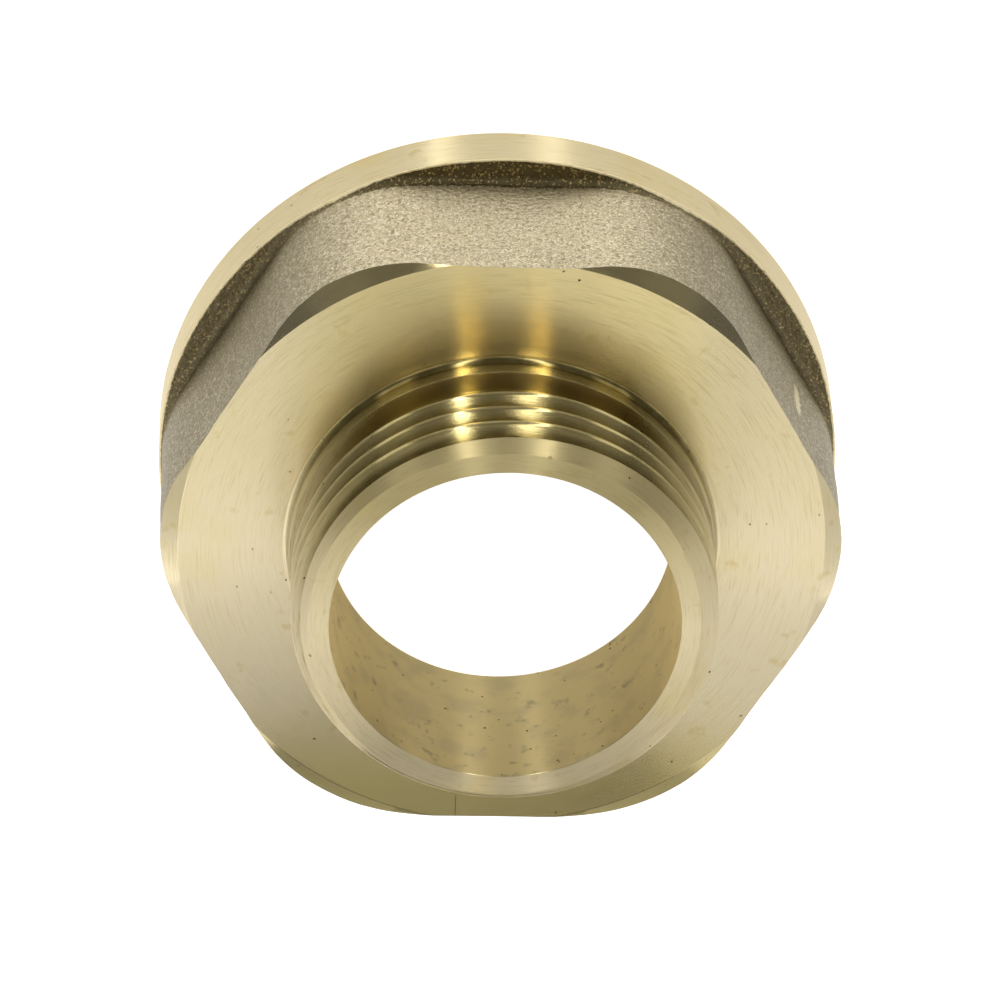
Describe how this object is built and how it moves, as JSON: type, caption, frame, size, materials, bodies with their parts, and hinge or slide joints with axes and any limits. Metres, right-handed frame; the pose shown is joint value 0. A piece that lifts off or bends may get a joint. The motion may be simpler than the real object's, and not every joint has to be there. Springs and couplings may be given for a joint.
{
  "type": "pipe adapter",
  "caption": "Brass reducing pipe adapter, a one inch outside pipe thread on a short nose and a one and a half inch inside pipe thread in a hexagon with a round flange.",
  "frame": {"origin": "centre of the flange's back face, on the bore axis", "axes": "+Z along the bore axis towards the threaded nose, and two of the hexagon's flats face +Y and -Y"},
  "size_m": [0.0542, 0.0542, 0.0308],
  "materials": {
    "brass": "bright turned faces, threads, rim and bores, with grainy as-forged flats on the hexagon"
  },
  "bodies": {
    "root": {"adapter_body": "brass"}
  },
  "joints": []
}
